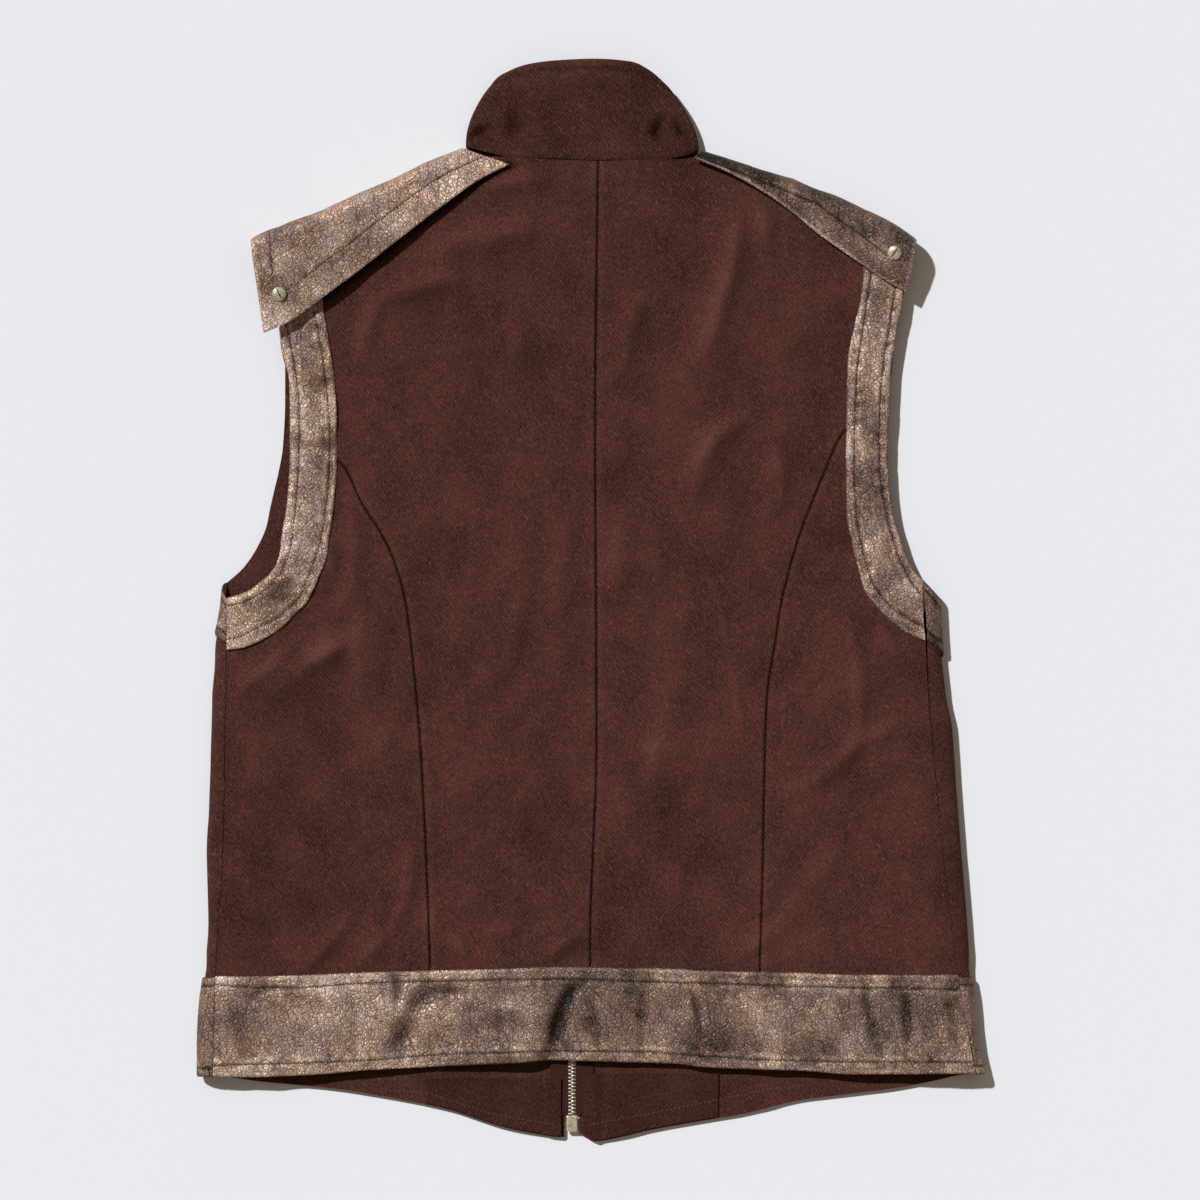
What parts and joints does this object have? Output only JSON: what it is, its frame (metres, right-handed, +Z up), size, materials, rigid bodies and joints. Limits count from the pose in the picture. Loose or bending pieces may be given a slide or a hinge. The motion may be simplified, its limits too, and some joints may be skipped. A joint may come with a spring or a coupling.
{
  "type": "belted vest",
  "caption": "Sleeveless zip-front vest with a tall stand collar, leather shoulder caps, armhole bands and hem band, lying flat on its front.",
  "frame": {"origin": "middle of the outline, on the surface that the vest lies on", "axes": "+X towards the wearer's right, +Y from the hem to the collar, +Z up from the surface, so the back of the vest faces +Z"},
  "size_m": [0.552, 0.756, 0.0227],
  "materials": {
    "twill": "dark chocolate brown cotton twill, matte",
    "leather": "crackled leather with a worn bronze coating",
    "tape": "woven zip tape, dark brown",
    "brass": "pale aged brass, satin"
  },
  "bodies": {
    "vest": {"back_centre_left": "twill", "back_centre_right": "twill", "back_side_left": "twill", "back_side_right": "twill", "front_left": "twill", "front_right": "twill", "collar": "twill", "hem_facing_left": "twill", "hem_facing_right": "twill", "shoulder_flap_left": "leather", "shoulder_flap_right": "leather", "armhole_band_back_left": "leather", "armhole_band_back_right": "leather", "armhole_band_front_left": "leather", "armhole_band_front_right": "leather", "hem_band_back": "leather", "hem_band_front_left": "leather", "hem_band_front_right": "leather", "zip_tape_left": "tape", "zip_tape_right": "tape", "zip_chain": "brass", "zip_box": "brass", "zip_slider": "brass", "stud_left": "brass", "stud_right": "brass"},
    "zip_pull": {"zip_pull": "brass"}
  },
  "joints": [
    {"name": "zip_pull_hinge", "type": "hinge", "parent": "vest", "child": "zip_pull", "pos_m": [-0.0133, 0.3116, 0.00235], "axis": [1, 0, 0], "range_deg": [0, 145]}
  ]
}
